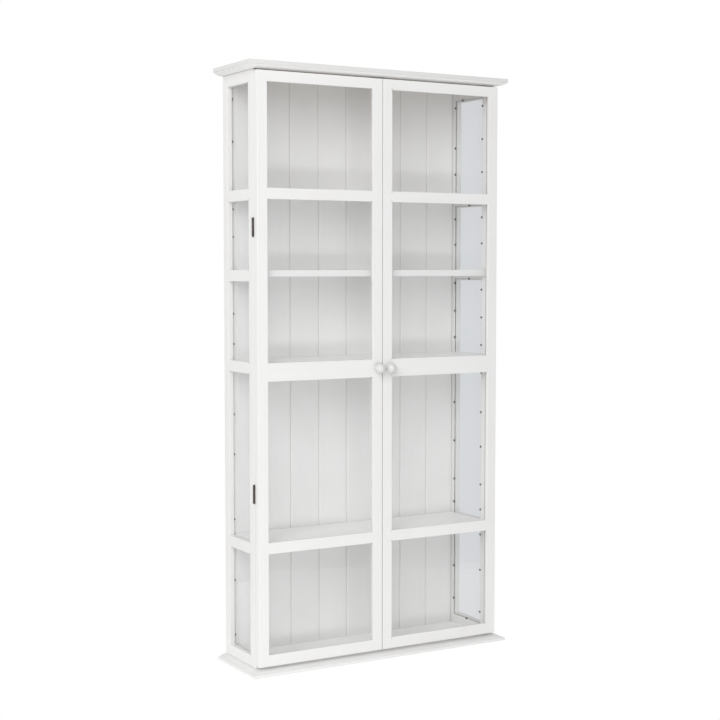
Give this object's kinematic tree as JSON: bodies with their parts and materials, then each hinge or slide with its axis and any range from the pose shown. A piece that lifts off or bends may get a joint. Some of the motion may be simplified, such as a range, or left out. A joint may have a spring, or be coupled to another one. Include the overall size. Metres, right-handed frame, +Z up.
{
  "type": "curio cabinet",
  "caption": "Tall shallow display cabinet of white painted wood, glazed at the front and both sides, with two hinged doors and fixed shelves.",
  "frame": {"origin": "on the floor, under the middle of the plan box, which takes in the knobs", "axes": "+Z up, +Y from the doors to the back, +X to the right of a person who faces the doors"},
  "size_m": [0.831, 0.2453, 1.646],
  "materials": {
    "white_paint": "satin white paint over wood with a faint grain",
    "back_paint": "matt white paint over boards with a faint grain",
    "knob_paint": "turned wood with satin white paint",
    "glass": "clear float glass with a faint green edge",
    "hinge_bronze": "antiqued dark bronze",
    "catch_plastic": "matt white plastic"
  },
  "bodies": {
    "carcass": {"base_board": "white_paint", "top_board": "white_paint", "side_frame_left": "white_paint", "side_frame_right": "white_paint", "side_glass_left_1": "glass", "side_glass_left_2": "glass", "side_glass_left_3": "glass", "side_glass_left_4": "glass", "side_glass_left_5": "glass", "side_glass_right_1": "glass", "side_glass_right_2": "glass", "side_glass_right_3": "glass", "side_glass_right_4": "glass", "side_glass_right_5": "glass", "shelf_1": "white_paint", "shelf_2": "white_paint", "shelf_3": "white_paint", "shelf_4": "white_paint", "back_board_1": "back_paint", "back_board_2": "back_paint", "back_board_3": "back_paint", "back_board_4": "back_paint", "back_board_5": "back_paint", "back_board_6": "back_paint", "back_board_7": "back_paint", "back_board_8": "back_paint", "hinge_left_lower_post_leaf": "hinge_bronze", "hinge_left_upper_post_leaf": "hinge_bronze", "hinge_right_lower_post_leaf": "hinge_bronze", "hinge_right_upper_post_leaf": "hinge_bronze", "double_catch": "catch_plastic"},
    "door_left": {"door_left_hinge_stile": "white_paint", "door_left_meeting_stile": "white_paint", "door_left_bottom_rail": "white_paint", "door_left_lower_rail": "white_paint", "door_left_lock_rail": "white_paint", "door_left_upper_rail": "white_paint", "door_left_top_rail": "white_paint", "door_left_glass_1": "glass", "door_left_glass_2": "glass", "door_left_glass_3": "glass", "door_left_glass_4": "glass", "knob_left": "knob_paint", "hinge_left_lower_door_leaf": "hinge_bronze", "hinge_left_upper_door_leaf": "hinge_bronze"},
    "door_right": {"door_right_hinge_stile": "white_paint", "door_right_meeting_stile": "white_paint", "door_right_bottom_rail": "white_paint", "door_right_lower_rail": "white_paint", "door_right_lock_rail": "white_paint", "door_right_upper_rail": "white_paint", "door_right_top_rail": "white_paint", "door_right_glass_1": "glass", "door_right_glass_2": "glass", "door_right_glass_3": "glass", "door_right_glass_4": "glass", "knob_right": "knob_paint", "hinge_right_lower_door_leaf": "hinge_bronze", "hinge_right_upper_door_leaf": "hinge_bronze"}
  },
  "joints": [
    {"name": "door_left_hinge", "type": "hinge", "parent": "carcass", "child": "door_left", "pos_m": [-0.39, -0.0685, 0.823], "axis": [0, 0, -1], "range_deg": [0, 180]},
    {"name": "door_right_hinge", "type": "hinge", "parent": "carcass", "child": "door_right", "pos_m": [0.39, -0.0685, 0.823], "axis": [0, 0, 1], "range_deg": [0, 180]}
  ]
}
